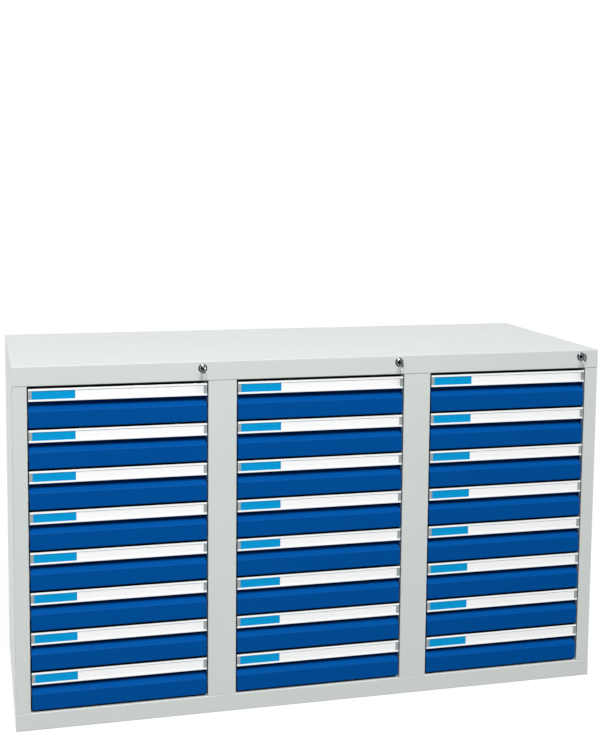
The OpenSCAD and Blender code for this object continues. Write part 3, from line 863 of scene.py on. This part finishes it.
def combined(nt, operation, a, b, clamp=False):
    """A maths node on an output and on another output or a number."""
    n = nt.nodes.new("ShaderNodeMath")
    n.operation, n.use_clamp = operation, clamp
    nt.links.new(a, n.inputs[0])
    if isinstance(b, float):
        n.inputs[1].default_value = b
    else:
        nt.links.new(b, n.inputs[1])
    return n.outputs[0]


def seen_mask(nt):
    """1 where the camera sees the background, straight or in metal or glass, and otherwise 0."""
    lp = nt.nodes.new("ShaderNodeLightPath").outputs
    seen = combined(nt, "ADD", lp["Is Camera Ray"], lp["Is Glossy Ray"])
    seen = combined(nt, "ADD", seen, lp["Is Transmission Ray"], clamp=True)
    # what metal reflects onto a dull surface is the plain ambient light, not the white background
    return combined(nt, "MULTIPLY", seen, combined(nt, "LESS_THAN", lp["Diffuse Depth"], 0.5))


def masked(nt, hidden, seen, kind):
    """Joins what only lights the object and what shows, at the output of a world or a material."""
    mix = nt.nodes.new("ShaderNodeMixShader")
    nt.links.new(seen_mask(nt), mix.inputs["Fac"])
    nt.links.new(hidden.outputs[0], mix.inputs[1])
    nt.links.new(seen.outputs[0], mix.inputs[2])
    nt.links.new(mix.outputs[0], nt.nodes.new(kind).inputs["Surface"])


def world(ambient):
    w = bpy.data.worlds.new("studio")
    scene.world = w
    w.use_nodes = True
    nt = w.node_tree
    nt.nodes.clear()
    lit = add(nt, "ShaderNodeBackground", Color=(0.97, 0.985, 1.0, 1), Strength=ambient)
    seen = add(nt, "ShaderNodeBackground", Color=(1, 1, 1, 1), Strength=1.0)
    masked(nt, lit, seen, "ShaderNodeOutputWorld")


def floor(level, glow_level):
    """A dull dark ground that shows as white, and still takes the object's shadow."""
    size, drop = 40, 0.0006
    bm = bmesh.new()
    bmesh.ops.create_grid(bm, x_segments=1, y_segments=1, size=size)
    me = bpy.data.meshes.new("floor")
    bm.to_mesh(me)
    bm.free()
    ob = linked("floor", me)
    ob.location = (0, 0, -drop)
    m = bpy.data.materials.new("floor_pale")
    m.use_nodes = True
    nt = m.node_tree
    nt.nodes.clear()
    dull = add(nt, "ShaderNodeBsdfDiffuse", Color=(level, level, level, 1))
    glow = add(nt, "ShaderNodeEmission", Strength=glow_level)
    both = nt.nodes.new("ShaderNodeAddShader")
    nt.links.new(dull.outputs[0], both.inputs[0])
    nt.links.new(glow.outputs[0], both.inputs[1])
    masked(nt, dull, both, "ShaderNodeOutputMaterial")
    me.materials.append(m)


def aimed(name, data, direction):
    ob = linked(name, data)
    ob.rotation_mode = "QUATERNION"
    ob.rotation_quaternion = Vector(direction).to_track_quat("-Z", "Y")
    return ob


def area(name, at, target, size, power):
    data = bpy.data.lights.new(name, "AREA")
    data.shape, data.size, data.energy = "SQUARE", size, power
    aimed(name, data, Vector(target) - Vector(at)).location = at


def sun(name, direction, level, angle, glossy=True):
    """A sun that gives a surface that faces it the stated level of light."""
    data = bpy.data.lights.new(name, "SUN")
    data.energy, data.angle = level * math.pi, math.radians(angle)
    aimed(name, data, direction).visible_glossy = glossy


def camera():
    """The camera that fits the cabinet's edges, in pixels of a picture 600 wide and 750 high."""
    picture_h, sensor = 750, 36
    f_px, centre_y = 1248.521, 297.9
    yaw, pitch, roll = 0.254539, 0.099893, -0.008682
    place = (-0.840137, -3.300504, 1.363508)
    ahead = Vector((math.sin(yaw) * math.cos(pitch), math.cos(yaw) * math.cos(pitch), -math.sin(pitch)))
    level = Vector((math.cos(yaw), -math.sin(yaw), 0))
    below = ahead.cross(level)
    right = level * math.cos(roll) + below * math.sin(roll)
    down = below * math.cos(roll) - level * math.sin(roll)
    data = bpy.data.cameras.new("camera")
    data.sensor_width = sensor
    data.lens = f_px * sensor / picture_h
    data.shift_y = (centre_y - picture_h / 2) / picture_h
    data.clip_start, data.clip_end = 0.05, 200
    ob = linked("camera", data)
    ob.matrix_world = Matrix.Translation(place) @ Matrix((right, -down, -ahead)).transposed().to_4x4()
    scene.camera = ob


camera()
casing()
slides()
drawers()
locks()
lock_bars()

world(0.06)
floor(0.10, 0.925)
sun("key", (0.0, 0.523, -0.580), 0.781, 24)
# the low fills light the sides, and leave no glare on the top as they graze it
sun("left_fill", (0.78, -0.62, -0.02), 1.65, 30, glossy=False)
sun("right_fill", (-0.86, -0.50, -0.02), 0.85, 30, glossy=False)
area("front_fill", (0.05, -3.75, 4.05), (-5.0, -0.3, 0.5), 2.1, 196)

scene.view_settings.view_transform = "Standard"
